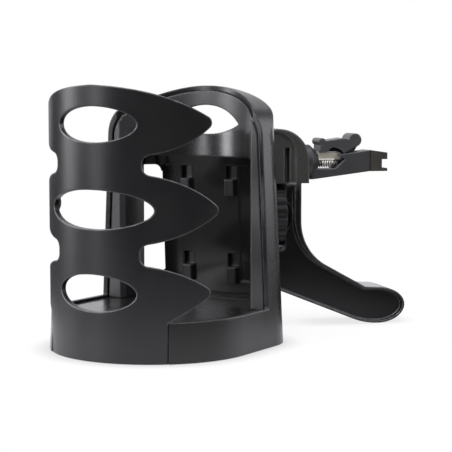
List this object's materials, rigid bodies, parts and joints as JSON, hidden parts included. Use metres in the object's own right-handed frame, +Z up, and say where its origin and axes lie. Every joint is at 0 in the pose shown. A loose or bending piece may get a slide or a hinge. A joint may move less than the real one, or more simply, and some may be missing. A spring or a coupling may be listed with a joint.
{
  "type": "car cup holder",
  "caption": "Car cup holder with a round fingered front cage, arched back shell with window, and a ball-jointed bracket with toe and sprung air-vent clip.",
  "frame": {"origin": "on the cup axis, on the surface the base stands on", "axes": "+Z up, the open front faces -Y, the vent bracket is behind at +Y"},
  "size_m": [0.1076, 0.1759, 0.1113],
  "materials": {
    "satin_black": "satin moulded plastic",
    "gloss_black": "smooth glossy plastic on the concave band",
    "bracket_black": "satin moulded plastic",
    "nickel": "bright nickel plating",
    "steel": "plain steel",
    "rubber": "soft dark rubber"
  },
  "bodies": {
    "holder": {"holder_body": "satin_black", "back_frame": "gloss_black", "front_cage": "satin_black", "hook_plate": "satin_black"},
    "leg": {"support_leg": "bracket_black"},
    "ring": {"locking_ring": "bracket_black"},
    "clip": {"clip_body": "bracket_black", "jaw_pad": "rubber", "clip_screw": "steel", "clip_washer": "steel", "lever_pin": "steel", "spring": "nickel"},
    "lever": {"lever": "bracket_black"},
    "slider": {"slider": "nickel"}
  },
  "joints": [
    {"name": "swivel", "type": "hinge", "parent": "holder", "child": "leg", "pos_m": [0, 0.06702, 0.05148], "axis": [0, 0, 1], "range_deg": [-2, 90]},
    {"name": "ring_turn", "type": "hinge", "parent": "leg", "child": "ring", "pos_m": [0.01042, 0.07781, 0.05148], "axis": [0.6947, 0.7193, 0], "range_deg": [-180, 0]},
    {"name": "clip_turn", "type": "hinge", "parent": "leg", "child": "clip", "pos_m": [0.02258, 0.0904, 0.07618], "axis": [0.6947, 0.7193, 0], "range_deg": [-90, 90]},
    {"name": "slider_slide", "type": "slide", "parent": "clip", "child": "slider", "axis": [0.6947, 0.7193, 0], "range_m": [-0.0018, 0], "stiffness_N_per_m": 20, "springref_m": 0.001, "deforming": ["spring"]},
    {"name": "lever_lift", "type": "hinge", "parent": "clip", "child": "lever", "pos_m": [0.0373, 0.10565, 0.07818], "axis": [-0.7193, 0.6947, 0], "range_deg": [-1, 25]}
  ],
  "couplings": [
    {"joint": "lever_lift", "follows": "slider_slide", "rad_per_m": -232.71}
  ]
}
